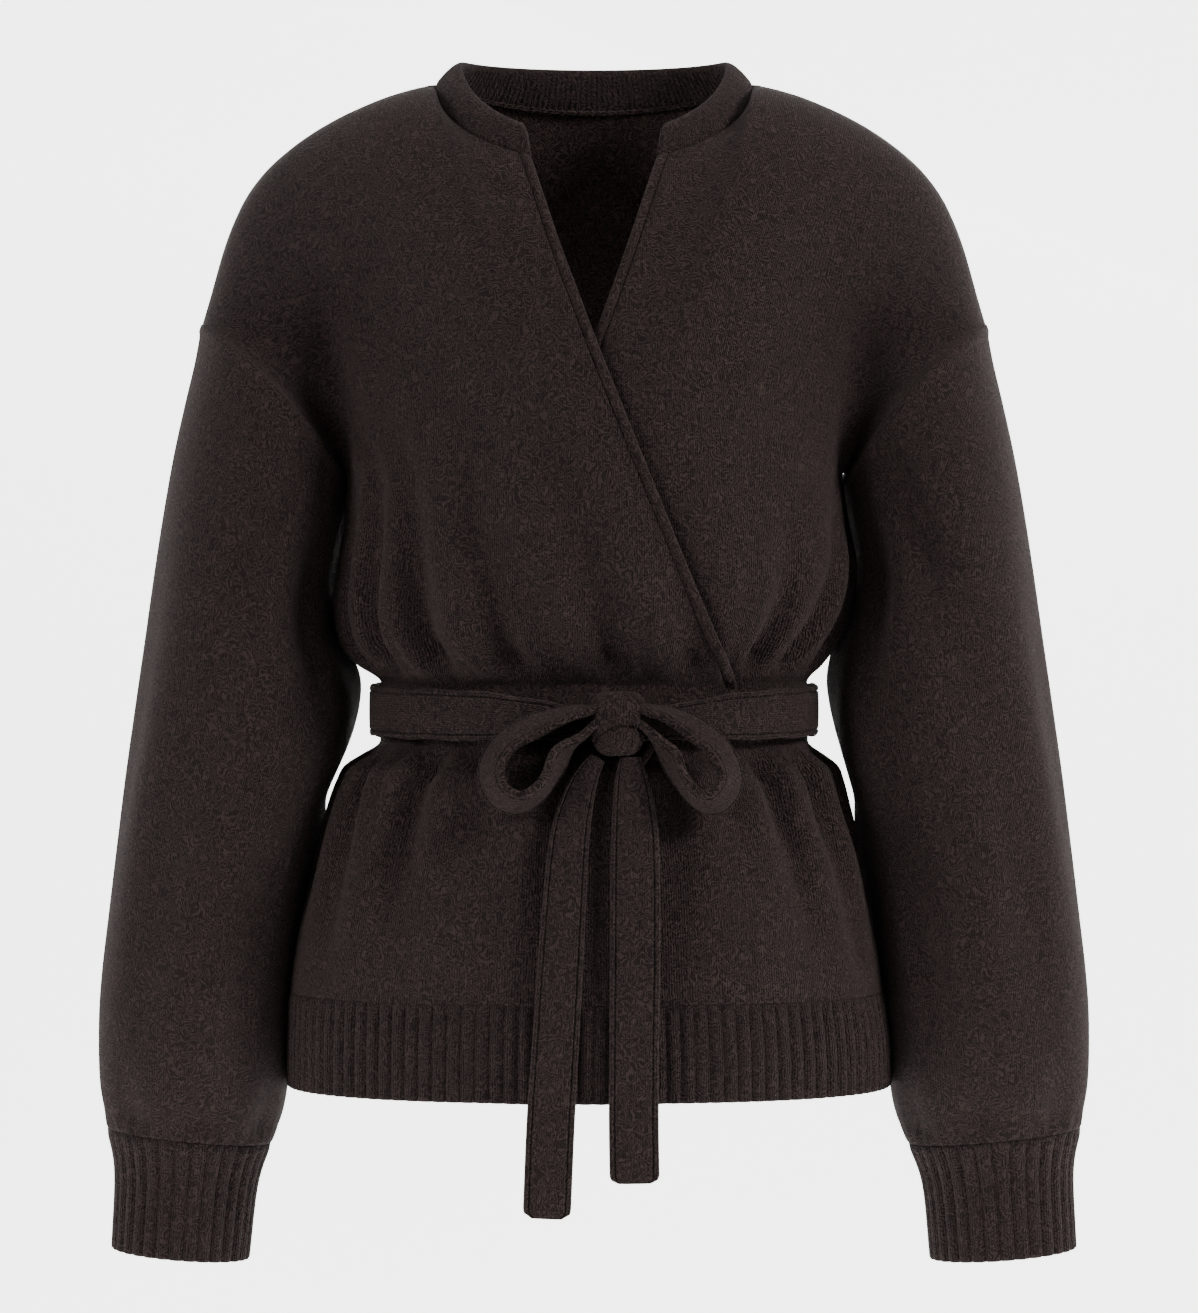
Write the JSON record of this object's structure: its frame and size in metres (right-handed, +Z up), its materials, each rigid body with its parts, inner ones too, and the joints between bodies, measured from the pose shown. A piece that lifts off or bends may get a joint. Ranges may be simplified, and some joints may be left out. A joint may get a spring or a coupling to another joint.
{
  "type": "wrap cardigan",
  "caption": "Long-sleeved knitted wrap cardigan with a stand collar, ribbed hem and cuffs, and a tie belt in a bow, shown filled out to its worn form, hollow inside.",
  "frame": {"origin": "middle of the neck's base between the tops of the shoulders, where a wearer or hanger holds it", "axes": "+X to the wearer's left, +Y to the back, +Z up"},
  "size_m": [0.5912, 0.2564, 0.7186],
  "materials": {
    "body_knit": "matte",
    "rib_knit": "matte",
    "tie_knit": "matte"
  },
  "bodies": {
    "root": {"back": "body_knit", "front_right": "body_knit", "front_left": "body_knit", "hem_back": "rib_knit", "hem_right": "rib_knit", "hem_left": "rib_knit", "sleeve_right": "body_knit", "sleeve_left": "body_knit", "cuff_right": "rib_knit", "cuff_left": "rib_knit", "collar": "rib_knit", "trim_right": "body_knit", "trim_left": "body_knit", "belt": "tie_knit", "bow_knot": "tie_knit", "bow_loop_right": "tie_knit", "bow_loop_left": "tie_knit", "belt_end_right": "tie_knit", "belt_end_left": "tie_knit"}
  },
  "joints": []
}
